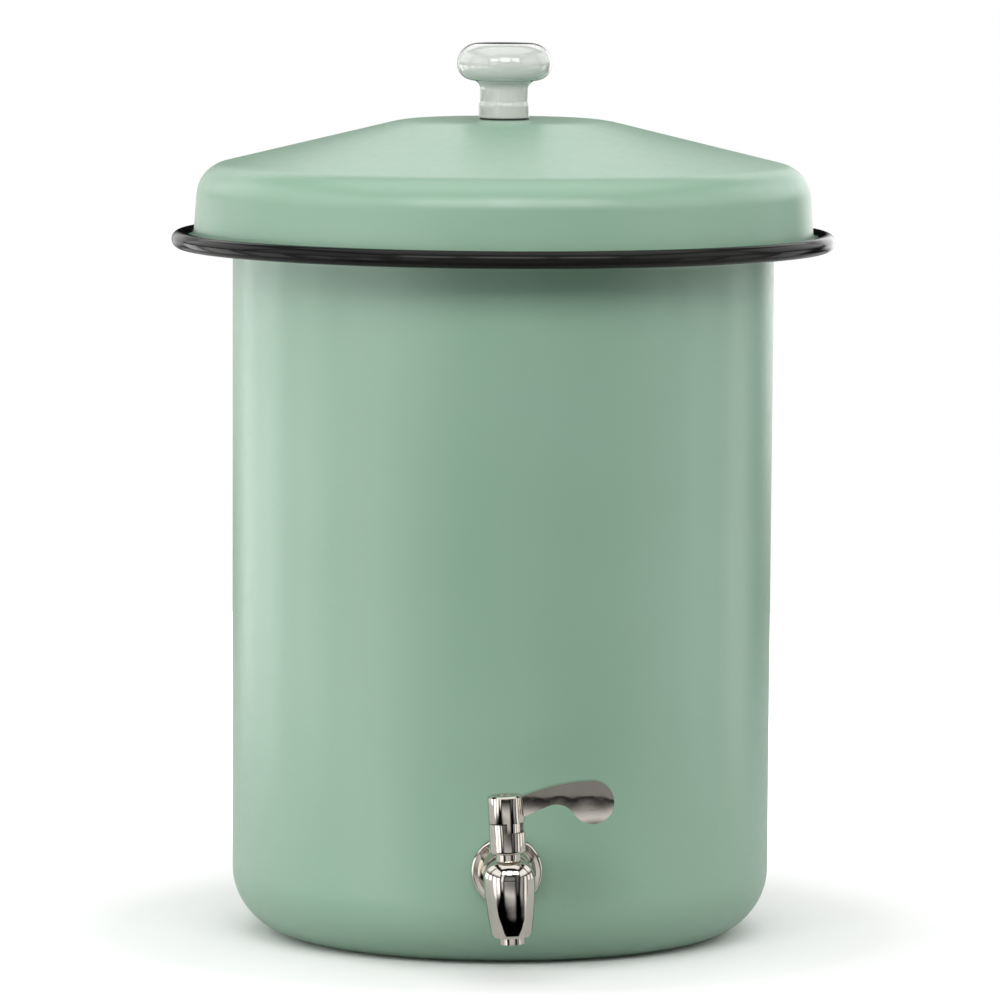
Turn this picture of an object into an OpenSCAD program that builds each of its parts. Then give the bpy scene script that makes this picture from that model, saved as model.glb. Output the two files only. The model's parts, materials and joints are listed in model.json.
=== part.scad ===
// Enamelled steel water filter dispenser: a tall vessel with a rolled rim, a
// domed lid with a porcelain knob, a clay filter pot that hangs from the rim,
// and a quarter-turn lever tap near the bottom of the front.
// Origin: centre of the resting face. +Z is up and the tap looks along -Y.

/* [Vessel] */
// Outside diameter of the wall just under the rim
body_d = 280; // [250:1:340]
// How much smaller the radius is at the bottom corner
body_draft = 0.7; // [0:0.1:3]
// Height of the rim flange above the resting face
flange_z = 361.3; // [300:0.1:440]
// Enamelled sheet thickness of the vessel
wall = 1.4; // [1:0.1:2.5]
// Outside radius of the bottom corner
corner_r = 34; // [20:1:40]
// Radius of the flare between wall and flange
flare_r = 8; // [4:0.5:12]
// Width of the flat part of the rim flange
flange_w = 14.7; // [12:0.1:22]
// Outside radius of the rolled bead on the rim
bead_r = 4.45; // [3.5:0.05:6]
// How far the middle of the bead is below the flange's top face
bead_drop = 1.25; // [0.8:0.05:2]

/* [Lid] */
// Sheet thickness of the lid
lid_wall = 1.2; // [0.8:0.1:2]
// Radial play between the lid's skirt and the bead
lid_play = 2.4; // [1:0.1:4]
// Slope of the lid's cone in degrees
lid_slope = 13.63; // [8:0.1:20]
// Height of the sharp corner between cone and skirt above the flange
skirt_h = 35.2; // [28:0.1:50]
// How far the skirt leans inwards in degrees
skirt_lean = 4; // [1:0.5:6]
// Radius of the shoulder between cone and skirt
shoulder_r = 18; // [10:0.5:22]
// Radius of the flat top that carries the knob
plateau_r = 52; // [35:1:60]
// Radius of the soft edge around the flat top
plateau_edge_r = 60; // [30:1:70]
// Radius of the rolled hem along the skirt's lower edge
hem_r = 1.6; // [1.3:0.1:2.2]

/* [Knob] */
// Height of the porcelain knob above its gasket
knob_h = 38.6; // [30:0.1:50]
// Largest diameter of the knob
knob_d = 49; // [40:0.5:60]
// Diameter of the knob's neck
knob_neck_d = 25; // [20:0.5:30]
// Diameter of the knob's foot
knob_foot_d = 26.2; // [21:0.2:34]
// Radius that rounds the knob's upper edge
knob_top_r = 10.7; // [7:0.1:12]
// Thread diameter of the screw that holds the knob
knob_screw_d = 5; // [4:0.5:6]

/* [Filter pot] */
// Depth of the clay pot below the flange
pot_depth = 225; // [160:1:240]
// Thickness of the clay wall
pot_wall = 13; // [9:0.5:16]
// Radial gap between pot and vessel at the top
pot_gap = 7.6; // [4:0.1:14]
// How much the pot's radius shrinks towards its bottom
pot_taper = 26; // [10:1:40]
// Outside radius of the pot's bottom corner
pot_corner_r = 24; // [14:1:30]
// Thickness of the pot's rim
pot_rim_t = 12; // [8:0.5:16]
// Play between the pot's rim and the lid's hem
pot_rim_play = 3.1; // [1:0.1:6]
// Thickness of the silicone ring under the pot's rim
pot_gasket_t = 2; // [1:0.1:4]

/* [Tap] */
// Height of the tap's tail above the resting face
tap_z = 50.9; // [46:0.1:90]
// How far the tap leans to the left seen from the front, in degrees
tap_lean = 3; // [0:0.5:6]
// Distance from the vessel's wall to the spout's axis
tap_reach = 60; // [58:1:75]
// Thread diameter of the tail
tail_d = 16; // [15:0.5:18]
// Diameter of the flange against the vessel
tap_flange_d = 36; // [32:0.5:42]
// Thickness of the flange
tap_flange_t = 4; // [3:0.1:6]
// Diameter of the arm between flange and spout
tap_arm_d = 21; // [18:0.5:24]
// Diameter of the spout at its widest
spout_d = 25.6; // [24:0.1:30]
// Height of the widest place above the tail's axis
spout_wide_z = 5; // [3:0.5:8]
// How far the spout's lower face is below the tail's axis
spout_drop = 24.3; // [20:0.1:32]
// Radius by which the spout narrows down to its lower face
spout_taper = 3; // [1:0.1:4]
// Diameter of the neck between spout and bonnet
tap_neck_d = 12.4; // [11.5:0.1:14]
// Diameter of the bonnet and of the lever's hub
bonnet_d = 17.9; // [16.5:0.1:22]
// Height of the bonnet's lower edge above the tail's axis
bonnet_z = 17.4; // [16:0.1:20]
// Height of the bonnet
bonnet_h = 15.1; // [13:0.1:20]
// Diameter of the valve chamber
chamber_d = 13.5; // [12.5:0.1:14]
// Diameter of the water passage
bore_d = 9; // [6:0.1:9.5]
// Length of the outlet that shows below the spout
outlet_l = 3.4; // [2:0.1:8]
// Outside diameter of the outlet below the spout
outlet_d = 12.8; // [11:0.1:13]

/* [Lever] */
// Height of the lever's hub
hub_h = 13.3; // [11:0.1:18]
// Distance from the hub's axis to the end of the lever
lever_reach = 53.6; // [48:0.1:56]
// Radius of the lever's round end
paddle_r = 10.8; // [8:0.1:12]
// Thickness of the lever
lever_t = 6; // [4:0.5:8]
// How far the lever's highest edge is above the hub
lever_rise = 5.5; // [2:0.1:8]
// Radius of the arch under the lever
lever_arch_r = 10.4; // [8:0.1:14]
// Quarter turn between shut and open in degrees
lever_turn = 90; // [60:1:100]
// Width of the stop tab in degrees
stop_tab_angle = 20; // [12:1:30]
// Depth of the notch in which the stop tab moves
stop_depth = 4.6; // [3:0.1:5.5]

/* [Fits] */
// Gap between pieces that turn in each other
run_gap = 0.05; // [0.03:0.01:0.1]
// Gap under pieces that rest and lift off
seat_gap = 0.1; // [0.05:0.05:0.3]
// Thickness of the thin rubber washers
rubber_t = 0.8; // [0.5:0.1:1.5]

/* [Hidden] */
$fn = 128;
// Facets where a thin piece lies against the vessel's wall
fine = 720;

// Vessel
body_r = body_d / 2;
base_r = body_r - body_draft;
flare_z = flange_z - wall - flare_r;
flange_in_r = body_r + flare_r;
lip_r = flange_in_r + flange_w;
bead_c = [lip_r + bead_r, flange_z - bead_drop];
curl_gap_from = 184;
curl_gap_to = 228;

// Wall radius at a height on the straight part of the vessel
function wall_r(z) = base_r + body_draft * (z - corner_r) / (flare_z - corner_r);

// Lid
lid_z = flange_z + seat_gap;
lid_r = lip_r - lid_play;
corner_x = lid_r - skirt_h * tan(skirt_lean);
corner_z = lid_z + skirt_h;
plateau_z = corner_z + (corner_x - plateau_r) * tan(lid_slope);
cone_n = [sin(lid_slope), cos(lid_slope)];
skirt_n = [cos(skirt_lean), sin(skirt_lean)];
shoulder_t = shoulder_r * tan((90 - lid_slope - skirt_lean) / 2);
shoulder_c = [corner_x + shoulder_t * sin(skirt_lean), corner_z - shoulder_t * cos(skirt_lean)]
    - shoulder_r * skirt_n;
plateau_c = [plateau_r - plateau_edge_r * tan(lid_slope / 2), plateau_z - plateau_edge_r];

// Knob and its screw
knob_z = plateau_z + rubber_t;
knob_mid_z = knob_z + knob_h - knob_top_r;
knob_low_r = 8.4;
knob_fillet_r = 4.6;
insert_r = knob_screw_d * 0.9;
insert_l = 20;
screw_gap = 0.4;
under_z = plateau_z - lid_wall;
washer_z = under_z - rubber_t;
steel_washer_t = 1.2;
knob_washer_r = 1.6 * knob_screw_d;
screw_head_r = 0.95 * knob_screw_d;
screw_head_t = 3;
screw_head_z = washer_z - steel_washer_t;
hex_key = 3;

// Filter pot
pot_gasket_z = flange_z + seat_gap;
pot_rim_z = pot_gasket_z + pot_gasket_t;
pot_rim_r = lid_r - 2 * hem_r - pot_rim_play;
pot_r = body_r - wall - pot_gap;
pot_base_r = pot_r - pot_taper;
pot_base_z = flange_z - pot_depth;
pot_fillet_r = 4;
pot_round_r = 4;
gasket_margin = 0.5;

// Tap tail and its washers, measured outwards from the vessel's wall
tail_r = tail_d / 2;
tail_gap = 0.3;
thread_pitch = 1.5;
thread_depth = 0.8;
tap_flange_r = tap_flange_d / 2;
tap_flange_edge_r = 1.6;
flange_s = rubber_t;
cone_from_r = tap_flange_r - 3.4;
cone_l = 17;
arm_r = tap_arm_d / 2;
washer_r = tap_flange_r - 0.6;
inner_washer_r = 15;
tap_wall_r = wall_r(tap_z);
inner_sag = tap_wall_r - wall - sqrt(pow(tap_wall_r - wall, 2) - pow(inner_washer_r, 2));
inner_s = -(wall + inner_sag + rubber_t);
backing_t = 1.5;
nut_af = 24;
nut_t = 6;
nut_s = inner_s - backing_t;
tail_end_s = nut_s - nut_t - 4;

// Spout, chamber and valve, measured from the tail's axis
spout_r = spout_d / 2;
dome_r = 9.5;
dome_c = [spout_r - dome_r, spout_wide_z];
taper_h = spout_wide_z + spout_drop;
taper_arc_r = (pow(taper_h, 2) + pow(spout_taper, 2)) / (2 * spout_taper);
spout_edge = 1.2;
neck_r = tap_neck_d / 2;
neck_top_z = bonnet_z + bonnet_h - stop_depth - 0.8;
bonnet_r = bonnet_d / 2;
bonnet_edge = 1.6;
bonnet_top_z = bonnet_z + bonnet_h;
chamber_r = chamber_d / 2;
chamber_top_z = 10;
bore_r = bore_d / 2;
plug_r = chamber_r - run_gap;
plug_top_z = chamber_top_z - 0.2;
plug_base_z = -9.5;
plug_ring_z = 7.3;
port_r = bore_r - 0.5;
nozzle_top_z = plug_base_z - 0.5;
nozzle_end_z = -spout_drop - outlet_l;
nozzle_ring_z = nozzle_top_z - 3;
ring_r = 0.55;
groove_w = 1.4;
seat_r = bore_r + 1.4;
seat_l = 2;
stem_bore_r = 3.5;
stem_r = stem_bore_r - run_gap;
stem_ring_z = [16, 21];
stem_ring_r = 0.6;
slot_w = 2.4;
slot_h = 4;
square_w = 4.8;
hub_z = bonnet_top_z + 0.6;
hub_r = bonnet_r + 0.05;
hub_top_z = hub_z + hub_h;
hub_edge = 0.8;
stem_top_z = hub_top_z - 4.8;
lever_screw_d = 4;
recess_r = 3.9;
recess_h = 2.9;
lever_head_r = 3.55;
lever_head_h = 2.4;
lever_hex = 2.5;
stop_in_r = neck_r + 0.5;
stop_free = 1;
tab_gap = 0.3;
tab_inset = 0.15;

// Lever outline, seen from the front
paddle_x = lever_reach - paddle_r;
lever_top_z = hub_top_z + lever_rise;
paddle_z = lever_top_z - paddle_r;
root_x = hub_r - 0.5;
root_top_z = hub_top_z - 0.4;
top_arc_h = lever_top_z - root_top_z;
top_arc_r = (pow(paddle_x - root_x, 2) + pow(top_arc_h, 2)) / (2 * top_arc_h);
root_low_z = hub_top_z - 10.8;
arch_c = [paddle_x - (paddle_r + lever_arch_r) * cos(30), paddle_z - (paddle_r + lever_arch_r) * sin(30)];
root_to_arch = arch_c - [root_x, root_low_z];
arch_angle = atan2(root_to_arch[1], root_to_arch[0]) + asin(lever_arch_r / norm(root_to_arch));
arch_tangent = arch_c + lever_arch_r * [-sin(arch_angle), cos(arch_angle)];
drop_r = 3.3;
drop_h = 8.2;
drop_depth = 0.6;

// Point of the outline that is inset from a rounded corner along a normal
function inset_point(c, r, inset, n) = c + (r - inset) * n;

// ---------- shared shapes ----------

module ring(outer, inner, h) {
    difference() {
        cylinder(r = outer, h = h);
        translate([0, 0, -1]) cylinder(r = inner, h = h + 2);
    }
}

module o_ring(mid, r) {
    rotate_extrude() translate([mid, 0]) circle(r = r, $fn = 32);
}

// Hexagonal prism measured across its flats
module hexagon(across, h) {
    cylinder(d = across / cos(30), h = h, $fn = 6);
}

// Wedge of a full turn, from one angle to another about +Z
module sector(r, h, from, to) {
    rotate([0, 0, from]) rotate_extrude(angle = to - from) square([r, h]);
}

// Origin on the vessel's wall, -Y outwards, with the tap's lean
module tap_frame() {
    translate([0, -tap_wall_r, tap_z]) rotate([0, -tap_lean, 0]) children();
}

// Shapes turned about the tail's axis; their +Z points out of the vessel
module on_tail() {
    tap_frame() rotate([90, 0, 0]) children();
}

// Shapes turned about the spout's axis
module on_spout() {
    tap_frame() translate([0, -tap_reach, 0]) children();
}

// ---------- vessel ----------

// Everything inside the skin of the vessel's wall and floor, moved inwards by inset
module vessel_region(inset) {
    polygon([[0, inset], [base_r - corner_r, inset], [base_r - corner_r, corner_r],
        [base_r - inset, corner_r], [body_r - inset, flare_z], [0, flare_z]]);
    translate([base_r - corner_r, corner_r]) intersection() {
        circle(r = corner_r - inset);
        translate([0, -corner_r]) square(corner_r);
    }
}

// Mouth of the flare, moved inwards by inset
module flare_region(inset) {
    difference() {
        translate([0, flare_z]) square([flange_in_r, flare_r + inset]);
        translate([flange_in_r, flare_z]) circle(r = flare_r + inset);
    }
}

// Rolled edge: a tube that is open where the sheet's end meets the flange
module rim_curl() {
    difference() {
        circle(r = bead_r);
        circle(r = bead_r - wall);
        polygon([[0, 0], 3 * bead_r * [cos(curl_gap_from), sin(curl_gap_from)],
            3 * bead_r * [cos(curl_gap_to), sin(curl_gap_to)]]);
    }
}

module vessel() {
    color("#a3c4b2") difference() {
        rotate_extrude() difference() {
            vessel_region(0);
            vessel_region(wall);
        }
        on_tail() translate([0, 0, -4 * wall]) cylinder(r = tail_r + tail_gap, h = 8 * wall);
    }
}

// Flare, flange and rolled bead above the straight wall
module vessel_rim() {
    color("#1c1c1b") rotate_extrude() {
        difference() {
            union() {
                flare_region(0);
                translate([0, flange_z - wall]) square([lip_r + wall / 2, wall]);
            }
            flare_region(wall);
        }
        translate(bead_c) rim_curl();
    }
}

// ---------- filter pot ----------

module pot_outline() {
    translate([0, pot_base_z]) square([pot_base_r - pot_corner_r, pot_corner_r]);
    translate([pot_base_r - pot_corner_r, pot_base_z + pot_corner_r]) intersection() {
        circle(r = pot_corner_r);
        translate([0, -pot_corner_r]) square(pot_corner_r);
    }
    polygon([[0, pot_base_z + pot_corner_r], [pot_base_r, pot_base_z + pot_corner_r],
        [pot_r, pot_rim_z - pot_fillet_r], [pot_r, pot_rim_z + 1], [0, pot_rim_z + 1]]);
    difference() {
        translate([pot_r - 1, pot_rim_z - pot_fillet_r]) square([pot_fillet_r + 1, pot_fillet_r + 1]);
        translate([pot_r + pot_fillet_r, pot_rim_z - pot_fillet_r]) circle(r = pot_fillet_r);
    }
    translate([0, pot_rim_z]) square([pot_rim_r, pot_rim_t - pot_round_r]);
    translate([0, pot_rim_z]) square([pot_rim_r - pot_round_r, pot_rim_t]);
    translate([pot_rim_r - pot_round_r, pot_rim_z + pot_rim_t - pot_round_r]) circle(r = pot_round_r);
}

module pot_hollow() {
    in_corner = pot_corner_r - pot_wall / 2;
    in_base_r = pot_base_r - pot_wall;
    in_z = pot_base_z + pot_wall;
    top_z = pot_rim_z + pot_rim_t;
    translate([0, in_z]) square([in_base_r - in_corner, in_corner]);
    translate([in_base_r - in_corner, in_z + in_corner]) circle(r = in_corner);
    polygon([[0, in_z + in_corner], [in_base_r, in_z + in_corner], [pot_r - pot_wall, top_z - pot_round_r],
        [pot_r - pot_wall, top_z + 1], [0, top_z + 1]]);
    difference() {
        translate([0, top_z - pot_round_r]) square([pot_r - pot_wall + pot_round_r, pot_round_r + 1]);
        translate([pot_r - pot_wall + pot_round_r, top_z - pot_round_r]) circle(r = pot_round_r);
    }
}

module filter_pot() {
    color("#b8714a") rotate_extrude() difference() {
        pot_outline();
        pot_hollow();
    }
}

module pot_gasket() {
    color("#e6e4de") translate([0, 0, pot_gasket_z])
        ring(pot_rim_r - gasket_margin, flange_in_r + gasket_margin, pot_gasket_t);
}

// ---------- lid and knob ----------

// Everything inside the lid's skin, moved inwards by inset
module lid_region(inset) {
    intersection() {
        union() {
            polygon([[0, lid_z], [lid_r - inset / cos(skirt_lean), lid_z],
                inset_point(shoulder_c, shoulder_r, inset, skirt_n),
                inset_point(shoulder_c, shoulder_r, inset, cone_n),
                inset_point(plateau_c, plateau_edge_r, inset, cone_n),
                inset_point(plateau_c, plateau_edge_r, inset, [0, 1]),
                [0, plateau_z - inset]]);
            translate(shoulder_c) circle(r = shoulder_r - inset);
            translate(plateau_c) circle(r = plateau_edge_r - inset);
        }
        translate([0, lid_z]) square([lid_r, plateau_z]);
    }
}

module lid() {
    color("#a3c4b2") difference() {
        rotate_extrude() {
            difference() {
                lid_region(0);
                lid_region(lid_wall);
            }
            translate([lid_r - hem_r, lid_z + hem_r]) circle(r = hem_r, $fn = 48);
        }
        translate([0, 0, under_z - 1]) cylinder(r = knob_screw_d / 2 + screw_gap, h = lid_wall + 2);
    }
}

module knob_outline() {
    foot_h = 8;
    neck_r = knob_neck_d / 2;
    low_c = [knob_d / 2 - knob_low_r, knob_mid_z];
    fillet_dx = low_c[0] - neck_r - knob_fillet_r;
    fillet_dz = sqrt(pow(knob_low_r + knob_fillet_r, 2) - pow(fillet_dx, 2));
    fillet_c = [neck_r + knob_fillet_r, knob_mid_z - fillet_dz];
    translate([0, knob_z]) square([knob_foot_d / 2, foot_h]);
    translate([0, knob_z]) square([neck_r, knob_h / 2]);
    // crown
    translate([0, knob_mid_z]) square([knob_d / 2 - knob_top_r, knob_top_r]);
    translate([knob_d / 2 - knob_top_r, knob_mid_z]) intersection() {
        circle(r = knob_top_r);
        square(knob_top_r);
    }
    // underside, blended into the neck
    translate(low_c) intersection() {
        circle(r = knob_low_r);
        translate([0, -knob_low_r]) square(knob_low_r);
    }
    difference() {
        polygon([[0, fillet_c[1]], [neck_r, fillet_c[1]], fillet_c, low_c, [0, knob_mid_z]]);
        translate(fillet_c) circle(r = knob_fillet_r);
    }
}

module lid_knob() {
    color("#eef0ec") difference() {
        rotate_extrude() knob_outline();
        translate([0, 0, knob_z - 1]) cylinder(r = insert_r + run_gap, h = insert_l + 1.5);
    }
}

module knob_gasket() {
    color("#26282a") translate([0, 0, plateau_z])
        ring(knob_foot_d / 2 - 0.4, knob_screw_d / 2 + screw_gap, rubber_t);
}

module knob_insert() {
    color("#c9a24e") translate([0, 0, knob_z]) ring(insert_r, knob_screw_d / 2 + run_gap, insert_l);
}

module knob_inner_gasket() {
    color("#26282a") translate([0, 0, washer_z])
        ring(knob_washer_r, knob_screw_d / 2 + screw_gap, rubber_t);
}

module knob_washer() {
    color("#b9bbbd") translate([0, 0, screw_head_z])
        ring(knob_washer_r, knob_screw_d / 2 + screw_gap, steel_washer_t);
}

module knob_screw() {
    shank_l = knob_z + insert_l - 2 - screw_head_z;
    color("#b9bbbd") difference() {
        union() {
            translate([0, 0, screw_head_z - screw_head_t]) cylinder(r = screw_head_r, h = screw_head_t);
            translate([0, 0, screw_head_z]) cylinder(d = knob_screw_d, h = shank_l);
        }
        translate([0, 0, screw_head_z - screw_head_t - 1]) hexagon(hex_key, 3);
    }
}

// ---------- tap: tail and fixings ----------

module outer_washer() {
    color("#e6e4de") difference() {
        on_tail() translate([0, 0, -4 * wall]) ring(washer_r, tail_r + tail_gap, 4 * wall + flange_s);
        rotate_extrude($fn = fine) vessel_region(0);
    }
}

module inner_washer() {
    color("#e6e4de") intersection() {
        on_tail() translate([0, 0, inner_s]) ring(inner_washer_r, tail_r + tail_gap, -inner_s);
        rotate_extrude($fn = fine) vessel_region(wall);
    }
}

module backing_washer() {
    color("#c3c5c6") on_tail() translate([0, 0, nut_s])
        ring(inner_washer_r - 0.5, tail_r + tail_gap, backing_t);
}

module tail_nut() {
    color("#c3c5c6") on_tail() translate([0, 0, nut_s - nut_t]) difference() {
        intersection() {
            hexagon(nut_af, nut_t);
            // chamfered corners on the inner side
            cylinder(r1 = nut_af / 2, r2 = nut_af / 2 + nut_t, h = nut_t);
        }
        translate([0, 0, -1]) cylinder(r = tail_r + run_gap, h = nut_t + 2);
    }
}

// Tail, flange and arm as they are turned about the tail's axis
module tail_outline() {
    cone_h = cone_from_r - arm_r;
    cone_arc_r = (pow(cone_l, 2) + pow(cone_h, 2)) / (2 * cone_h);
    face_s = flange_s + tap_flange_t;
    difference() {
        translate([0, tail_end_s]) square([tail_r, flange_s + 1 - tail_end_s]);
        for (s = [tail_end_s + thread_pitch : thread_pitch : nut_s])
            translate([tail_r, s]) circle(r = thread_depth, $fn = 4);
    }
    // flange with rounded edges
    translate([0, flange_s]) square([tap_flange_r - tap_flange_edge_r, tap_flange_t]);
    translate([0, flange_s]) square([tap_flange_r, tap_flange_t - tap_flange_edge_r]);
    translate([tap_flange_r - tap_flange_edge_r, face_s - tap_flange_edge_r])
        circle(r = tap_flange_edge_r);
    // hollow cone into the arm
    difference() {
        translate([0, face_s - 1]) square([cone_from_r, cone_l + 1]);
        translate([arm_r + cone_arc_r, face_s + cone_l]) circle(r = cone_arc_r);
    }
    translate([0, face_s]) square([arm_r, tap_reach - face_s]);
}

// Spout as it is turned about its own axis
module spout_outline() {
    low_r = spout_r - spout_taper;
    intersection() {
        translate([0, -spout_drop]) square([spout_r, taper_h]);
        translate([spout_r - taper_arc_r, spout_wide_z]) circle(r = taper_arc_r);
        polygon([[0, -spout_drop], [low_r - spout_edge, -spout_drop], [low_r + spout_edge, 2 * spout_edge - spout_drop],
            [spout_r, 2 * spout_edge - spout_drop], [spout_r, spout_wide_z], [0, spout_wide_z]]);
    }
    translate([0, spout_wide_z]) square([spout_r - dome_r, dome_r]);
    translate(dome_c) intersection() {
        circle(r = dome_r);
        square(dome_r);
    }
    translate([0, spout_wide_z]) square([neck_r, neck_top_z - spout_wide_z]);
}

module tap_body() {
    color("#b8b4ae") difference() {
        union() {
            on_tail() rotate_extrude() tail_outline();
            on_spout() rotate_extrude() spout_outline();
        }
        on_tail() translate([0, 0, tail_end_s - 1]) cylinder(r = bore_r, h = tap_reach - tail_end_s + 1);
        on_tail() translate([0, 0, tap_reach - chamber_r - seat_l])
            cylinder(r = seat_r + run_gap, h = chamber_r + seat_l);
        on_spout() translate([0, 0, -spout_drop - 1]) cylinder(r = chamber_r, h = spout_drop + 1 + chamber_top_z);
        on_spout() cylinder(r = stem_bore_r, h = neck_top_z + 1);
    }
}

// ---------- tap: valve ----------

module valve_seat() {
    color("#f2f0ea") difference() {
        on_tail() translate([0, 0, tap_reach - chamber_r - seat_l]) ring(seat_r, bore_r, chamber_r);
        on_spout() translate([0, 0, -seat_r - 1]) cylinder(r = chamber_r, h = 2 * seat_r + 2);
    }
}

module nozzle_insert() {
    color("#b8b4ae") on_spout() difference() {
        union() {
            translate([0, 0, nozzle_end_z]) cylinder(d = outlet_d, h = outlet_l + 1);
            translate([0, 0, -spout_drop]) cylinder(r = plug_r, h = nozzle_top_z + spout_drop);
        }
        translate([0, 0, nozzle_end_z - 1]) cylinder(r = bore_r, h = nozzle_top_z - nozzle_end_z + 2);
        translate([0, 0, nozzle_ring_z - groove_w / 2]) ring(chamber_r + 1, plug_r - 2 * ring_r, groove_w);
    }
}

module nozzle_o_ring() {
    color("#26282a") on_spout() translate([0, 0, nozzle_ring_z]) o_ring(plug_r - ring_r, ring_r);
}

module valve_plug() {
    color("#d8b978") on_spout() difference() {
        translate([0, 0, plug_base_z]) cylinder(r = plug_r, h = plug_top_z - plug_base_z);
        translate([0, 0, plug_base_z - 1]) cylinder(r = port_r, h = 1 - plug_base_z);
        rotate([0, 90, 0]) cylinder(r = port_r, h = plug_r + 1);
        for (z = [-plug_ring_z, plug_ring_z])
            translate([0, 0, z - groove_w / 2]) ring(chamber_r + 1, plug_r - 2 * ring_r, groove_w);
        translate([-plug_r - 1, -slot_w / 2 - run_gap, plug_top_z - slot_h])
            cube([2 * plug_r + 2, slot_w + 2 * run_gap, slot_h + 1]);
    }
}

module plug_o_rings() {
    color("#26282a") on_spout() for (z = [-plug_ring_z, plug_ring_z])
        translate([0, 0, z]) o_ring(plug_r - ring_r, ring_r);
}

module valve_stem() {
    stem_z = plug_top_z + 0.1;
    square_z = hub_z - 0.3;
    tang_z = plug_top_z - slot_h + 0.2;
    color("#c3c5c6") on_spout() difference() {
        union() {
            translate([0, 0, tang_z]) cylinder(r = stem_r, h = square_z - tang_z);
            translate([-square_w / 2, -square_w / 2, square_z - 1])
                cube([square_w, square_w, stem_top_z - square_z + 1]);
        }
        // flats that leave a tang in the plug's slot
        for (side = [0, 180])
            rotate([0, 0, side]) translate([-stem_r - 1, slot_w / 2, tang_z - 1])
                cube([2 * stem_r + 2, stem_r, stem_z - tang_z + 1]);
        for (z = stem_ring_z)
            translate([0, 0, z - groove_w / 2]) ring(stem_r + 1, stem_r - 2 * stem_ring_r, groove_w);
        translate([0, 0, stem_top_z - 6]) cylinder(d = lever_screw_d - 0.4, h = 7);
    }
}

module stem_o_rings() {
    color("#26282a") on_spout() for (z = stem_ring_z)
        translate([0, 0, z]) o_ring(stem_r - stem_ring_r, stem_ring_r);
}

module tap_bonnet() {
    notch_z = bonnet_top_z - stop_depth;
    color("#b8b4ae") on_spout() difference() {
        rotate_extrude() {
            translate([0, bonnet_z]) square([bonnet_r - bonnet_edge, bonnet_h]);
            translate([0, bonnet_z + bonnet_edge]) square([bonnet_r, bonnet_h - bonnet_edge]);
            translate([bonnet_r - bonnet_edge, bonnet_z + bonnet_edge]) circle(r = bonnet_edge, $fn = 48);
        }
        translate([0, 0, bonnet_z - 1]) cylinder(r = neck_r + run_gap, h = neck_top_z + 0.1 - bonnet_z + 1);
        cylinder(r = stem_bore_r, h = bonnet_top_z + 1);
        // notch for the stop tab, from the front round to the right
        difference() {
            translate([0, 0, notch_z]) sector(bonnet_r + 1, stop_depth + 1, -90 - stop_free,
                -90 + stop_tab_angle + lever_turn + stop_free);
            cylinder(r = stop_in_r, h = bonnet_top_z + 2);
        }
    }
}

// ---------- tap: lever ----------

module lever_washer() {
    color("#26282a") on_spout() translate([0, 0, bonnet_top_z + run_gap])
        ring(stop_in_r - 0.4, stem_r + 0.2, hub_z - bonnet_top_z - run_gap);
}

// Outline of the arm and its round end, seen from the front
module lever_outline() {
    translate([paddle_x, paddle_z]) circle(r = paddle_r);
    difference() {
        intersection() {
            polygon([[0, root_low_z], [root_x, root_low_z], arch_tangent,
                [paddle_x, paddle_z] - paddle_r * [cos(30), sin(30)], [paddle_x, paddle_z],
                [paddle_x, lever_top_z + 1], [0, lever_top_z + 1]]);
            translate([paddle_x, lever_top_z - top_arc_r]) circle(r = top_arc_r);
        }
        translate(arch_c) circle(r = lever_arch_r);
    }
}

// Water drop on the round end: a circle with a pointed cap
module drop_outline() {
    cap_w = 0.96 * drop_r;
    circle(r = drop_r);
    polygon([[-cap_w, 0], [cap_w, 0], [0.72 * cap_w, 0.72 * drop_r], [0, drop_h - drop_r],
        [-0.72 * cap_w, 0.72 * drop_r]]);
}

module lever() {
    tab_h = stop_depth - 0.5;
    color("#b8b4ae") on_spout() difference() {
        union() {
            rotate_extrude() {
                translate([0, hub_z]) square([hub_r, hub_h - hub_edge]);
                polygon([[0, hub_z], [hub_r, hub_z], [hub_r, hub_top_z - hub_edge],
                    [hub_r - hub_edge, hub_top_z], [0, hub_top_z]]);
            }
            rotate([90, 0, 0]) linear_extrude(height = lever_t, center = true) lever_outline();
            // stop tab under the hub
            difference() {
                translate([0, 0, bonnet_top_z - tab_h])
                    sector(hub_r - tab_inset, tab_h + 1, -90, -90 + stop_tab_angle);
                cylinder(r = stop_in_r + tab_gap, h = hub_z);
            }
        }
        translate([0, 0, hub_z - 0.05]) translate([-square_w / 2 - run_gap, -square_w / 2 - run_gap, 0])
            cube([square_w + 2 * run_gap, square_w + 2 * run_gap, stem_top_z - hub_z + 0.15]);
        translate([0, 0, hub_z]) cylinder(d = lever_screw_d + 0.3, h = hub_h + 1);
        translate([0, 0, hub_top_z - recess_h]) cylinder(r = recess_r, h = recess_h + 1);
        translate([paddle_x, -lever_t / 2, paddle_z - 1]) rotate([90, 0, 0])
            translate([0, 0, -drop_depth]) linear_extrude(height = 1 + drop_depth) drop_outline();
    }
}

module lever_screw() {
    head_z = hub_top_z - recess_h;
    color("#c3c5c6") on_spout() difference() {
        union() {
            translate([0, 0, head_z]) cylinder(r = lever_head_r, h = lever_head_h);
            translate([0, 0, stem_top_z - 5.5]) cylinder(d = lever_screw_d - 0.4, h = head_z - stem_top_z + 6);
        }
        translate([0, 0, head_z + 0.8]) hexagon(lever_hex, lever_head_h);
    }
}

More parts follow.
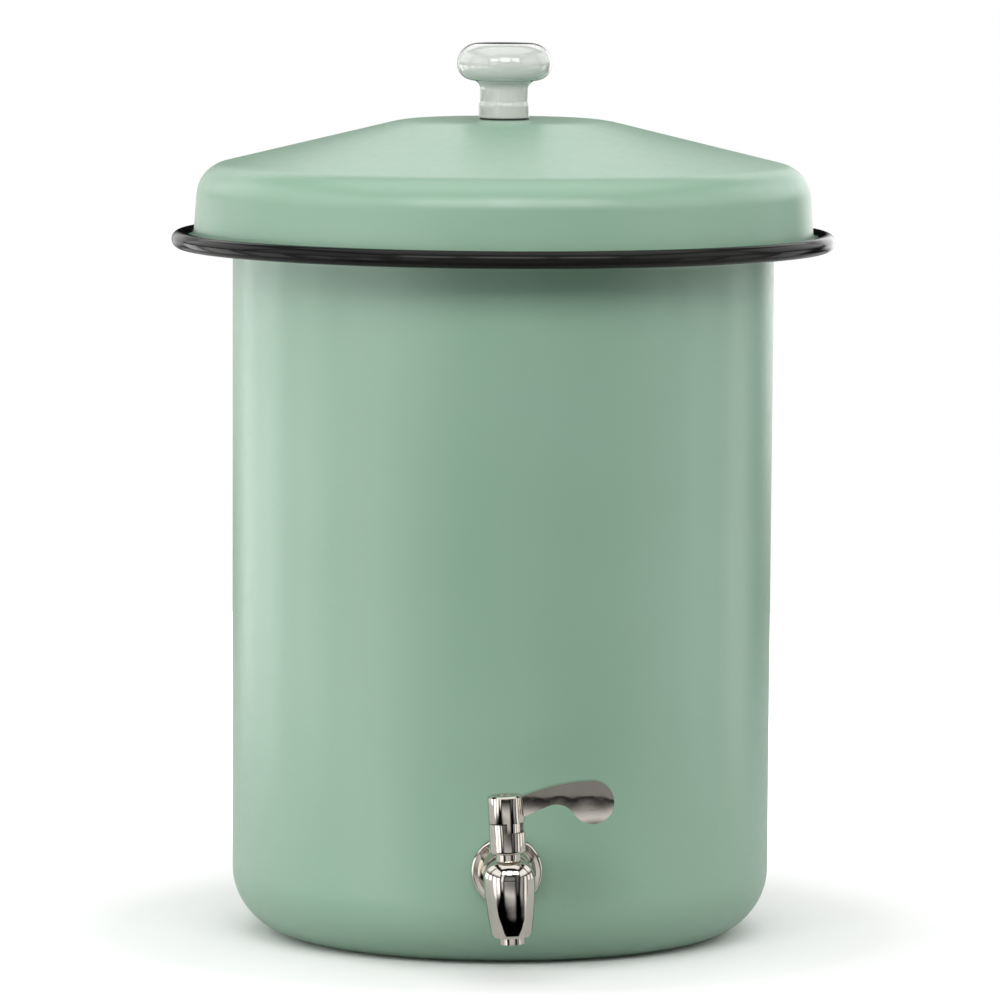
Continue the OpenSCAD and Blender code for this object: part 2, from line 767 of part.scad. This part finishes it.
vessel();
vessel_rim();
filter_pot();
pot_gasket();
lid();
lid_knob();
knob_gasket();
knob_insert();
knob_screw();
knob_washer();
knob_inner_gasket();
outer_washer();
inner_washer();
backing_washer();
tail_nut();
tap_body();
tap_bonnet();
valve_seat();
nozzle_insert();
nozzle_o_ring();
valve_plug();
plug_o_rings();
valve_stem();
stem_o_rings();
lever_washer();
lever();
lever_screw();
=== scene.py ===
"""Looks of the enamelled water filter dispenser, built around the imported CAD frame, in metres."""

import json
import math

import bmesh
import bpy
from mathutils import Matrix, Vector


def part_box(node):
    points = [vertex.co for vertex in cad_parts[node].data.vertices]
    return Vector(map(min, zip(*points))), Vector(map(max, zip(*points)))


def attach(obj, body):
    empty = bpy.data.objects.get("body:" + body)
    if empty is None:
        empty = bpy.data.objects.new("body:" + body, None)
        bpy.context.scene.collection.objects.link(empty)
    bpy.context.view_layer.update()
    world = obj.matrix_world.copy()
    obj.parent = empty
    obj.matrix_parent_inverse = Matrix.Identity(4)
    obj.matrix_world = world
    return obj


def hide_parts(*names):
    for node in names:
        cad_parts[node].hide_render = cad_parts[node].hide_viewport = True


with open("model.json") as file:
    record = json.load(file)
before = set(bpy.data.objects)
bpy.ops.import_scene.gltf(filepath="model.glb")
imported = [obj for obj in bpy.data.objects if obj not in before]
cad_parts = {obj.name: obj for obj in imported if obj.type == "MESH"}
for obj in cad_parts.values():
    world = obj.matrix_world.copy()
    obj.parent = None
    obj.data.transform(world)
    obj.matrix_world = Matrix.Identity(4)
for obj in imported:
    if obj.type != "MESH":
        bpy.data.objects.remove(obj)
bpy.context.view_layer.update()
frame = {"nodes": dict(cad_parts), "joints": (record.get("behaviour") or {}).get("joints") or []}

MM = 0.001
WIDE_STEPS = 320      # steps around the vessel, bead and lid
KNOB_STEPS = 128
SMALL_STEPS = 96      # steps around the tap hole


# ---------- camera ----------

CAMERA_DISTANCE = 3.8625
CAMERA_HEIGHT = 0.5936
CAMERA_PITCH = math.radians(5.455)     # looks down
CAMERA_AZIMUTH = math.radians(1.42)    # stands a little to the left of the tap
CAMERA_ROLL = math.radians(0.341)
CAMERA_SIDE = -0.00102
CAMERA_LENS = 269.06


def make_camera():
    forward = Vector((math.sin(CAMERA_AZIMUTH) * math.cos(CAMERA_PITCH),
                      math.cos(CAMERA_AZIMUTH) * math.cos(CAMERA_PITCH),
                      -math.sin(CAMERA_PITCH)))
    level = Vector((math.cos(CAMERA_AZIMUTH), -math.sin(CAMERA_AZIMUTH), 0))
    up = level.cross(forward)
    right = level * math.cos(CAMERA_ROLL) + up * math.sin(CAMERA_ROLL)
    up = up * math.cos(CAMERA_ROLL) - level * math.sin(CAMERA_ROLL)
    turn = Matrix((right, up, -forward)).transposed().to_4x4()
    place = Vector((-math.sin(CAMERA_AZIMUTH), -math.cos(CAMERA_AZIMUTH), 0)) * CAMERA_DISTANCE
    place += level * CAMERA_SIDE + Vector((0, 0, CAMERA_HEIGHT))
    data = bpy.data.cameras.new("camera")
    data.lens = CAMERA_LENS
    data.sensor_width = 36
    data.clip_end = 100
    camera = bpy.data.objects.new("camera", data)
    camera.matrix_world = Matrix.Translation(place) @ turn
    bpy.context.scene.collection.objects.link(camera)
    bpy.context.scene.camera = camera


make_camera()


# ---------- sizes from the frame ----------

def low(node):
    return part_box(node)[0]


def high(node):
    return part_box(node)[1]


RIM_R = high("vessel_rim").x
RIM_TOP = high("vessel_rim").z
LID_R = high("lid").x
LID_Z = low("lid").z
LID_TOP = high("lid").z
KNOB_Z = low("lid_knob").z
KNOB_TOP = high("lid_knob").z
KNOB_R = high("lid_knob").x

LEVER_JOINT = next(j for j in frame["joints"] if j["name"] == "lever_turn")
SPOUT_CENTRE = Vector(LEVER_JOINT["pos_m"])
SPOUT_UP = Vector(LEVER_JOINT["axis"]).normalized()
TAP_LEAN = math.atan2(-SPOUT_UP.x, SPOUT_UP.z)
TAP_REACH = 60 * MM      # from the spout's axis to the wall
WALL_POINT = SPOUT_CENTRE + Vector((0, TAP_REACH, 0))

# Frame in which the tap's hole is turned: local Z is the tail's axis
ALONG_TAIL = Matrix.Rotation(math.pi / 2, 4, "X")
TAIL_FRAME = Matrix.Translation(WALL_POINT) @ Matrix.Rotation(-TAP_LEAN, 4, "Y") @ ALONG_TAIL
UPRIGHT = Matrix.Identity(4)


# ---------- mesh helpers ----------

def on_circle(centre, radius, angle):
    """The point on a circle in the (r, z) plane at an angle in degrees."""
    a = math.radians(angle)
    return (centre[0] + radius * math.cos(a), centre[1] + radius * math.sin(a))


def arc(centre, radius, start, end, steps):
    """Points on a circle in the (r, z) plane, from one angle to another in degrees."""
    return [on_circle(centre, radius, start + (end - start) * i / steps) for i in range(steps + 1)]


def refine(points, longest, closed=False):
    """Splits long straight stretches so that smooth shading stays true beside the arcs."""
    out = []
    count = len(points)
    for i in range(count if closed else count - 1):
        a, b = points[i], points[(i + 1) % count]
        span = math.dist(a, b)
        if span < 1e-7:
            continue
        parts = max(1, math.ceil(span / longest))
        cuts = [k / parts for k in range(parts)]
        if parts > 1:
            cuts.insert(1, 0.12 / parts)
            cuts.append(1 - 0.12 / parts)
        out += [(a[0] + (b[0] - a[0]) * t, a[1] + (b[1] - a[1]) * t) for t in cuts]
    if not closed:
        out.append(points[-1])
    return out


def add_object(name, bm, sharp_angle=35):
    bmesh.ops.recalc_face_normals(bm, faces=bm.faces)
    mesh = bpy.data.meshes.new(name)
    bm.to_mesh(mesh)
    bm.free()
    mesh.polygons.foreach_set("use_smooth", [True] * len(mesh.polygons))
    mesh.set_sharp_from_angle(angle=math.radians(sharp_angle))
    obj = bpy.data.objects.new(name, mesh)
    bpy.context.scene.collection.objects.link(obj)
    return obj


def lathe(name, outline, place=UPRIGHT, steps=SMALL_STEPS, longest=0.004, closed=False, sharp_angle=35):
    """Turns an outline of (r, z) points about the local Z axis of place."""
    bm = bmesh.new()
    rings = []
    for r, z in refine(outline, longest, closed):
        if r < 1e-6:
            rings.append([bm.verts.new(place @ Vector((0, 0, z)))])
            continue
        ring = []
        for k in range(steps):
            a = math.radians(360 * k / steps)
            ring.append(bm.verts.new(place @ Vector((r * math.cos(a), r * math.sin(a), z))))
        rings.append(ring)
    pairs = list(zip(rings, rings[1:]))
    if closed:
        pairs.append((rings[-1], rings[0]))
    for one, two in pairs:
        for k in range(steps):
            n = (k + 1) % steps
            if len(one) == 1 and len(two) == 1:
                break
            if len(one) == 1:
                bm.faces.new((one[0], two[k], two[n]))
            elif len(two) == 1:
                bm.faces.new((one[k], two[0], one[n]))
            else:
                bm.faces.new((one[k], two[k], two[n], one[n]))
    return add_object(name, bm, sharp_angle)


def stand_for(piece, node, body, material):
    """The piece replaces a CAD node, rides on its body and takes its finish."""
    piece.data.materials.clear()
    piece.data.materials.append(material)
    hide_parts(node)
    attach(piece, body)


def dress(node, material):
    """A CAD node that keeps its mesh gets its material."""
    obj = frame["nodes"][node]
    obj.data.materials.clear()
    obj.data.materials.append(material)


# ---------- material helpers ----------

class Nodes:
    """A short way to build a node tree."""

    def __init__(self, name):
        self.material = bpy.data.materials.new(name)
        self.material.use_nodes = True
        self.tree = self.material.node_tree
        self.tree.nodes.clear()
        self.shader = self.add("ShaderNodeBsdfPrincipled")
        self.output = self.add("ShaderNodeOutputMaterial")
        self.link(self.shader.outputs["BSDF"], self.output.inputs["Surface"])
        self.coords = self.add("ShaderNodeTexCoord").outputs["Object"]

    def add(self, kind, **settings):
        node = self.tree.nodes.new(kind)
        for key, value in settings.items():
            setattr(node, key, value)
        return node

    def link(self, output, socket):
        self.tree.links.new(output, socket)

    def set(self, **values):
        for key, value in values.items():
            self.shader.inputs[key.replace("_", " ")].default_value = value

    def noise(self, scale, detail=3.0, roughness=0.5, vector=None):
        node = self.add("ShaderNodeTexNoise")
        node.inputs["Scale"].default_value = scale
        node.inputs["Detail"].default_value = detail
        node.inputs["Roughness"].default_value = roughness
        self.link(vector or self.coords, node.inputs["Vector"])
        return node.outputs["Fac"]

    def stretch(self, x, y, z):
        node = self.add("ShaderNodeMapping")
        node.inputs["Scale"].default_value = (x, y, z)
        self.link(self.coords, node.inputs["Vector"])
        return node.outputs["Vector"]

    def span(self, value, from_low, from_high, to_low, to_high):
        node = self.add("ShaderNodeMapRange")
        limits = {"From Min": from_low, "From Max": from_high, "To Min": to_low, "To Max": to_high}
        for key, number in limits.items():
            node.inputs[key].default_value = number
        self.link(value, node.inputs["Value"])
        return node.outputs["Result"]

    def math(self, operation, a, b):
        node = self.add("ShaderNodeMath", operation=operation)
        for socket, value in zip(node.inputs, (a, b)):
            if isinstance(value, (int, float)):
                socket.default_value = value
            else:
                self.link(value, socket)
        return node.outputs[0]

    def mix(self, fac, a, b):
        node = self.add("ShaderNodeMix", data_type="RGBA")
        for key, value in ((0, fac), (6, a), (7, b)):
            if hasattr(value, "is_linked"):
                self.link(value, node.inputs[key])
            elif key == 0:
                node.inputs[key].default_value = value
            else:
                node.inputs[key].default_value = (*value, 1)
        return node.outputs[2]

    def bump(self, height, strength, distance, under=None):
        node = self.add("ShaderNodeBump")
        node.inputs["Strength"].default_value = strength
        node.inputs["Distance"].default_value = distance
        self.link(height, node.inputs["Height"])
        if under is not None:
            self.link(under, node.inputs["Normal"])
        return node.outputs["Normal"]

    def base(self, colour):
        self.link(colour, self.shader.inputs["Base Color"])

    def rough(self, value):
        self.link(value, self.shader.inputs["Roughness"])

    def normal(self, value):
        self.link(value, self.shader.inputs["Normal"])


# ---------- materials ----------

GREEN = (0.250, 0.400, 0.296)
GREEN_DEEP = (0.238, 0.386, 0.281)
GREEN_SPECK = (0.12, 0.24, 0.17)
BLACK = (0.008, 0.008, 0.008)
BLACK_WORN = (0.014, 0.014, 0.013)
BLACK_SPECK = (0.03, 0.03, 0.029)
POLISHED = (0.56, 0.525, 0.47)


def enamel(name, light, deep, speck, rough_low, rough_high, ior=1.6):
    """Vitreous enamel over steel: clouded colour, fine specks and a faint orange peel."""
    n = Nodes(name)
    colour = n.mix(n.span(n.noise(9.0, 2.0), 0.35, 0.65, 0, 1), light, deep)
    grain = n.noise(900.0, 2.0)
    colour = n.mix(n.span(grain, 0.68, 0.75, 0, 0.14), colour, speck)
    n.base(colour)
    n.rough(n.span(n.noise(160.0, 2.0), 0.3, 0.7, rough_low, rough_high))
    peel = n.bump(n.noise(220.0, 2.0), 0.05, 0.0004)
    n.normal(n.bump(n.noise(14.0, 1.0), 0.05, 0.002, peel))
    n.set(IOR=ior)
    return n.material


def porcelain():
    n = Nodes("porcelain")
    n.base(n.mix(n.span(n.noise(60.0, 2.0), 0.4, 0.6, 0, 1), (0.56, 0.58, 0.55), (0.54, 0.56, 0.53)))
    n.rough(n.span(n.noise(200.0), 0.3, 0.7, 0.07, 0.11))
    n.normal(n.bump(n.noise(90.0, 2.0), 0.06, 0.0004))
    n.set(Coat_Weight=0.5, Coat_Roughness=0.03, IOR=1.52)
    return n.material


def clay():
    n = Nodes("clay")
    patches = n.span(n.noise(18.0, 5.0, 0.6), 0.3, 0.7, 0, 1)
    colour = n.mix(patches, (0.46, 0.19, 0.09), (0.56, 0.27, 0.14))
    specks = n.span(n.noise(700.0, 2.0), 0.62, 0.70, 0, 0.7)
    colour = n.mix(specks, colour, (0.20, 0.10, 0.06))
    n.base(colour)
    n.rough(n.span(patches, 0, 1, 0.82, 0.95))
    turning = n.bump(n.noise(3.0, 2.0, 0.5, n.stretch(1, 1, 160)), 0.25, 0.0006)
    n.normal(n.bump(n.noise(600.0, 4.0, 0.7), 0.5, 0.0006, turning))
    return n.material


# Tilt of the lever's domed face per metre away from its middle, halved
CROWN = 7.0


def steel(name, colour, rough_low, rough_high, brushed=0.0, crown_z=None):
    """Stainless steel; crown_z is the height that a slightly domed polished face is centred on."""
    n = Nodes(name)
    smear = n.noise(70.0, 4.0, 0.6)
    n.base(n.mix(n.span(smear, 0.35, 0.65, 0, 1), colour, tuple(0.93 * c for c in colour)))
    n.rough(n.span(n.noise(260.0, 5.0, 0.65), 0.3, 0.7, rough_low, rough_high))
    waves = n.bump(n.noise(120.0, 2.0), 0.06, 0.0006, n.bump(n.noise(45.0, 1.0), 0.35, 0.003))
    if brushed:
        waves = n.bump(n.noise(500.0, 3.0, 0.5, n.stretch(1, 1, 12)), brushed, 0.0002, waves)
    if crown_z is not None:
        place = n.add("ShaderNodeSeparateXYZ")
        n.link(n.coords, place.inputs[0])
        offset = n.math("SUBTRACT", place.outputs["Z"], crown_z)
        waves = n.bump(n.math("MULTIPLY", offset, offset), 1.0, -CROWN, waves)
    n.normal(waves)
    n.set(Metallic=1.0)
    return n.material


def brass():
    n = Nodes("brass")
    n.base(n.mix(n.span(n.noise(150.0, 4.0), 0.35, 0.65, 0, 1), (0.75, 0.56, 0.25), (0.66, 0.47, 0.20)))
    n.rough(n.span(n.noise(300.0, 4.0), 0.3, 0.7, 0.22, 0.36))
    n.normal(n.bump(n.noise(700.0, 3.0, 0.5, n.stretch(1, 1, 8)), 0.2, 0.0002))
    n.set(Metallic=1.0)
    return n.material


def rubber(name, colour, rough):
    n = Nodes(name)
    n.base(n.mix(n.span(n.noise(240.0, 4.0), 0.4, 0.6, 0, 1), colour, tuple(0.85 * c for c in colour)))
    n.rough(n.span(n.noise(500.0, 3.0), 0.3, 0.7, rough - 0.08, rough + 0.08))
    n.normal(n.bump(n.noise(900.0, 3.0), 0.2, 0.0002))
    return n.material


lever_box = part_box("lever")
LEVER_Z = (lever_box[0][2] + lever_box[1][2]) / 2

MAT = {
    "green": enamel("enamel_green", GREEN, GREEN_DEEP, GREEN_SPECK, 0.30, 0.36),
    "black_enamel": enamel("enamel_black", BLACK, BLACK_WORN, BLACK_SPECK, 0.08, 0.13, 1.2),
    "porcelain": porcelain(),
    "clay": clay(),
    "polished": steel("polished_steel", POLISHED, 0.04, 0.09),
    "lever_face": steel("cast_steel", POLISHED, 0.05, 0.11, crown_z=LEVER_Z),
    "plain": steel("plain_steel", (0.60, 0.59, 0.57), 0.22, 0.34, 0.25),
    "brass": brass(),
    "black": rubber("black_rubber", (0.016, 0.017, 0.018), 0.55),
    "silicone": rubber("silicone", (0.72, 0.71, 0.67), 0.42),
    "ptfe": rubber("ptfe", (0.82, 0.81, 0.78), 0.5),
}


# ---------- vessel ----------

def wavy(obj, line_r):
    """Moves the line between the two enamels in and out a little, as a dipped edge does."""
    spread = 0.05 * MM
    for vertex in obj.data.vertices:
        x, y, z = vertex.co
        radius = math.hypot(x, y)
        if abs(radius - line_r) > spread or z < LID_Z - 2 * MM:
            continue
        a = math.atan2(y, x)
        shift = 0.22 * math.sin(9 * a + 1.3) + 0.16 * math.sin(23 * a) + 0.10 * math.sin(47 * a + 0.6)
        factor = 1 + shift * MM / radius
        vertex.co.x *= factor
        vertex.co.y *= factor


def make_vessel():
    wall = 1.4 * MM
    bead_r = 4.45 * MM
    corner_r = 34 * MM
    flare_r = 8 * MM
    body_r = 140 * MM
    base_r = body_r - 0.7 * MM
    flange_z = LID_Z - 0.1 * MM
    bead = (RIM_R - bead_r, RIM_TOP - bead_r)
    flare_z = flange_z - wall - flare_r
    flare_c = (body_r + flare_r, flare_z)
    corner_c = (base_r - corner_r, corner_r)
    # the black enamel starts on the inner side of the bead, above the flange
    line_angle = 155
    line = on_circle(bead, bead_r, line_angle)
    outer = [(0, 0), (corner_c[0], 0)]
    outer += arc(corner_c, corner_r, -90, 0, 28)
    outer += arc(flare_c, flare_r, 180, 90, 14)
    under = (bead[0] - bead_r + 0.6 * MM, flange_z - wall)
    inner = [(bead[0] - bead_r - 0.4 * MM, flange_z)]
    inner += arc(flare_c, flare_r + wall, 90, 180, 14)
    inner += arc(corner_c, corner_r - wall, 0, -90, 28)
    inner.append((0, wall))
    rise = arc(bead, bead_r, 186, line_angle, 6)
    edge = [under, (line[0] + 0.3 * MM, line[1] - 0.4 * MM), line]
    outline = outer + edge + list(reversed(rise)) + inner
    shell = lathe("vessel_shell", outline, steps=WIDE_STEPS, longest=0.006, sharp_angle=50)
    wavy(shell, line[0])
    cut_tap_hole(shell)
    stand_for(shell, "vessel", "base", MAT["green"])
    # rolled bead: a tube that is open where the sheet's end meets the flange
    curl_r = bead_r - wall
    tip_angle = -132
    tip = on_circle(bead, bead_r - wall / 2, tip_angle)
    tube = arc(bead, bead_r, line_angle, tip_angle, 64)
    tube += arc(tip, wall / 2, tip_angle, tip_angle - 180, 6)[1:-1]
    tube += arc(bead, curl_r, tip_angle, 165, 40)
    bead_piece = lathe("rim_bead", tube, steps=WIDE_STEPS, longest=0.004, closed=True, sharp_angle=60)
    wavy(bead_piece, line[0])
    stand_for(bead_piece, "vessel_rim", "base", MAT["black_enamel"])


def cut_tap_hole(vessel):
    hole_r = 8.3 * MM
    inner_end = -12 * MM
    outer_end = 6 * MM
    outline = [(0, inner_end), (hole_r, inner_end), (hole_r, outer_end), (0, outer_end)]
    hole = lathe("hole_cutter", outline, TAIL_FRAME)
    cut = vessel.modifiers.new("tap_hole", "BOOLEAN")
    cut.operation = "DIFFERENCE"
    cut.solver = "EXACT"
    cut.object = hole
    apply_modifiers(vessel)
    bpy.data.objects.remove(hole)


def apply_modifiers(obj):
    bpy.context.view_layer.update()
    graph = bpy.context.evaluated_depsgraph_get()
    mesh = bpy.data.meshes.new_from_object(obj.evaluated_get(graph))
    obj.modifiers.clear()
    old = obj.data
    obj.data = mesh
    bpy.data.meshes.remove(old)


# ---------- lid and knob ----------

def make_lid():
    sheet = 1.2 * MM
    slope = math.radians(13.63)
    lean = math.radians(4)
    shoulder_r = 18 * MM
    plateau_r = 52 * MM
    edge_r = 60 * MM
    hem_r = 1.6 * MM
    corner_z = LID_Z + 35.2 * MM
    corner_x = LID_R - (corner_z - LID_Z) * math.tan(lean)
    tangent = shoulder_r * math.tan((math.pi / 2 - slope - lean) / 2)
    shoulder_c = (corner_x + tangent * math.sin(lean) - shoulder_r * math.cos(lean),
                  corner_z - tangent * math.cos(lean) - shoulder_r * math.sin(lean))
    edge_c = (plateau_r - edge_r * math.tan(slope / 2), LID_TOP - edge_r)
    hole_r = 2.9 * MM

    def skin(inset):
        """Outline from the hole outwards and down to the hem."""
        points = [(hole_r, LID_TOP - inset)]
        points += arc(edge_c, edge_r - inset, 90, 90 - math.degrees(slope), 8)
        points += arc(shoulder_c, shoulder_r - inset, 90 - math.degrees(slope), math.degrees(lean), 24)
        return points

    hem_c = (LID_R - hem_r, LID_Z + hem_r)
    outline = skin(0) + arc(hem_c, hem_r, math.degrees(lean), -250, 22) + list(reversed(skin(sheet)))
    lid = lathe("lid_shell", outline, steps=WIDE_STEPS, longest=0.006, closed=True, sharp_angle=50)
    stand_for(lid, "lid", "lid", MAT["green"])


def make_knob():
    top_r = 10.7 * MM
    low_r = 8.4 * MM
    fillet_r = 4.6 * MM
    neck_r = 12.5 * MM
    foot_r = 13.1 * MM
    hole_r = 4.55 * MM
    mid_z = KNOB_TOP - top_r
    crown_c = (KNOB_R - top_r, mid_z)
    low_c = (KNOB_R - low_r, mid_z)
    dx = low_c[0] - neck_r - fillet_r
    dz = math.sqrt((low_r + fillet_r) ** 2 - dx ** 2)
    fillet_c = (neck_r + fillet_r, mid_z - dz)
    lean = math.degrees(math.atan2(dz, -dx))
    hole_top = KNOB_Z + 20.5 * MM
    mouth = 0.4 * MM
    foot_round = 0.9 * MM
    outline = [(0, hole_top), (hole_r, hole_top), (hole_r, KNOB_Z + mouth), (hole_r + mouth, KNOB_Z)]
    outline.append((foot_r - foot_round, KNOB_Z))
    outline += arc((foot_r - foot_round, KNOB_Z + foot_round), foot_round, -90, 0, 6)
    outline += [(foot_r, KNOB_Z + 6.2 * MM)]
    outline += [(foot_r - 0.25 * MM, KNOB_Z + 7.4 * MM), (neck_r, KNOB_Z + 8.8 * MM)]
    outline += arc(fillet_c, fillet_r, 180, lean, 12)
    outline += arc(low_c, low_r, lean - 180, 0, 18)
    outline += arc(crown_c, top_r, 0, 84, 22)
    # a slightly domed top instead of a flat one
    dome_r, dome_z = outline[-1]
    dome_steps = 8
    for i in range(1, dome_steps + 1):
        t = i / dome_steps
        outline.append((dome_r * (1 - t), dome_z + (KNOB_TOP - dome_z) * math.sin(t * math.pi / 2)))
    knob = lathe("knob_porcelain", outline, longest=0.003, steps=KNOB_STEPS, sharp_angle=60)
    stand_for(knob, "lid_knob", "lid", MAT["porcelain"])


make_vessel()
make_lid()
make_knob()


# ---------- CAD nodes that keep their shape ----------

KEPT = {
    "filter_pot": "clay", "pot_gasket": "silicone", "knob_gasket": "black", "knob_insert": "brass",
    "knob_screw": "plain", "knob_washer": "plain", "knob_inner_gasket": "black", "outer_washer": "silicone",
    "inner_washer": "silicone", "backing_washer": "plain", "tail_nut": "plain", "tap_body": "polished",
    "tap_bonnet": "polished", "valve_seat": "ptfe", "nozzle_insert": "polished", "nozzle_o_ring": "black",
    "valve_plug": "brass", "plug_o_rings": "black", "valve_stem": "plain", "stem_o_rings": "black",
    "lever_washer": "black", "lever": "lever_face", "lever_screw": "plain",
}
for node_name, material_name in KEPT.items():
    dress(node_name, MAT[material_name])


# ---------- stage and light ----------

LEFT_GLOW = 3.0
RIGHT_GLOW = 1.7
NEAR_GLOW = 0.6
HIGH_GLOW = 1.6
KEY_GLOW = 6.0
BACK_LEFT_GLOW = 1.0
BACK_RIGHT_GLOW = 2.1
TOP_GLOW = 1.5
FRONT_GLOW = 1.0
DIM_GLOW = 0.33
FAINT_GLOW = 0.2


def add_rectangle(bm, start, end):
    """A flat face at height zero, between two opposite corners."""
    corners = ((start[0], start[1]), (end[0], start[1]), (end[0], end[1]), (start[0], end[1]))
    bm.faces.new([bm.verts.new((x, y, 0)) for x, y in corners])


def make_table():
    """A pale table top; past its edges the camera sees the plain white world."""
    half = 0.75
    front_y = -0.245
    back_y = 1.5
    bm = bmesh.new()
    add_rectangle(bm, (-half, front_y), (half, back_y))
    table = add_object("table", bm)
    n = Nodes("table_paint")
    shade = n.mix(n.span(n.noise(2.0), 0.3, 0.7, 0, 1), (0.62, 0.62, 0.615), (0.60, 0.60, 0.595))
    seen = n.add("ShaderNodeLightPath").outputs["Is Camera Ray"]
    n.base(n.mix(seen, shade, (0.92, 0.92, 0.915)))
    n.set(Roughness=0.8, Emission_Color=(1.0, 1.0, 1.0, 1.0))
    # far from the object the table fades into the white world
    away = n.add("ShaderNodeVectorMath", operation="LENGTH")
    n.link(n.coords, away.inputs[0])
    fade = n.span(away.outputs["Value"], 0.2, 0.7, 0, 0.95)
    n.link(n.math("MULTIPLY", fade, seen), n.shader.inputs["Emission Strength"])
    table.data.materials.append(n.material)


def softbox(name, place, aim, size, glow):
    """A glowing sheet with soft edges; two that meet blend into each other."""
    soft = 0.3
    half_x, half_y = size[0] / 2 + soft / 2, size[1] / 2 + soft / 2
    bm = bmesh.new()
    add_rectangle(bm, (-half_x, -half_y), (half_x, half_y))
    mesh = bpy.data.meshes.new(name)
    bm.to_mesh(mesh)
    bm.free()
    sheet = bpy.data.objects.new(name, mesh)
    bpy.context.scene.collection.objects.link(sheet)
    turn = (Vector(aim) - Vector(place)).normalized().to_track_quat("Z", "Y")
    sheet.matrix_world = Matrix.Translation(place) @ turn.to_matrix().to_4x4()
    sheet.visible_camera = False
    sheet.visible_shadow = False
    n = Nodes(name + "_light")
    n.tree.nodes.remove(n.shader)
    parts = n.add("ShaderNodeSeparateXYZ")
    n.link(n.coords, parts.inputs[0])
    power = 1.0
    for axis, half in (("X", half_x), ("Y", half_y)):
        edge = n.math("SUBTRACT", half, n.math("ABSOLUTE", parts.outputs[axis], 0))
        fade = n.add("ShaderNodeMapRange", interpolation_type="SMOOTHSTEP")
        fade.inputs["From Max"].default_value = soft
        n.link(edge, fade.inputs["Value"])
        power = n.math("MULTIPLY", fade.outputs["Result"], power)
    front = n.math("SUBTRACT", 1.0, n.add("ShaderNodeNewGeometry").outputs["Backfacing"])
    light = n.add("ShaderNodeEmission")
    n.link(n.math("MULTIPLY", n.math("MULTIPLY", power, front), glow), light.inputs["Strength"])
    n.link(light.outputs[0], n.output.inputs["Surface"])
    mesh.materials.append(n.material)


def make_lights():
    """Rows of sheets at the sides, which the upright wall mirrors, and key, back and top sheets."""
    side_x = 1.1
    low_z = 0.1
    high_z = 0.9
    tall = 0.8
    # middle and width of each lower side sheet, from the front backwards; the left side is the bright one
    low_row = ((-1.0, 0.4), (-0.6, 0.4), (-0.15, 0.5), (0.4, 0.6), (1.05, 0.7))
    for i, (y, wide) in enumerate(low_row, 1):
        softbox(f"left_low_{i}", (-side_x, y, low_z), (0, y, low_z), (wide, tall), LEFT_GLOW)
    for i, (y, wide) in enumerate(low_row[:4], 1):
        glow = NEAR_GLOW if i == 1 else RIGHT_GLOW
        softbox(f"right_low_{i}", (side_x, y, low_z), (0, y, low_z), (wide, tall), glow)
    for side, x in (("left", -side_x), ("right", side_x)):
        for part, y, wide in (("front", -0.6, 1.2), ("back", 0.7, 1.4)):
            softbox(f"{side}_high_{part}", (x, y, high_z), (0, y, high_z), (wide, tall), HIGH_GLOW)
    for name, x, aim_x in (("front_left", -0.75, -0.2), ("front_middle", 0, 0), ("front_right", 0.75, 0.2)):
        softbox(name, (x, -1.5, 1.3), (aim_x, 0, 0.3), (0.7, 0.7), KEY_GLOW)
    for name, x, glow in (("beside_left", -0.8, HIGH_GLOW), ("beside_right", 0.8, FAINT_GLOW)):
        softbox(name, (x, -1.5, 0.35), (x, 0, 0.35), (0.6, 1.0), glow)
    for name, x, glow in (("back_low_left", -0.75, BACK_LEFT_GLOW), ("back_low_right", 0.75, BACK_RIGHT_GLOW)):
        softbox(name, (x, 1.45, 0.5), (x, 0, 0.5), (0.75, 0.8), glow)
    # the tap's polished front mirrors these two: a light one below a dim one
    softbox("front_low", (0, -1.3, -0.21), (0, 0, -0.21), (1.0, 0.26), FRONT_GLOW)
    softbox("front_dim", (0, -1.32, 0.19), (0, 0, 0.19), (1.0, 0.6), DIM_GLOW)
    softbox("back_high", (0, 1.45, 1.35), (0, 0, 1.35), (2.25, 0.9), TOP_GLOW)
    softbox("top", (0, 0, 2.0), (0, 0.001, 0), (2.3, 1.6), TOP_GLOW)


def make_world():
    """Past the table's edges the camera sees plain white, which lights nothing."""
    world = bpy.data.worlds.new("studio_world")
    world.use_nodes = True
    seen = world.node_tree.nodes.new("ShaderNodeLightPath").outputs["Is Camera Ray"]
    background = world.node_tree.nodes["Background"]
    background.inputs["Color"].default_value = (1.0, 1.0, 1.0, 1.0)
    world.node_tree.links.new(seen, background.inputs["Strength"])
    bpy.context.scene.world = world


make_table()
make_lights()
make_world()
bpy.context.scene.view_settings.view_transform = "Standard"
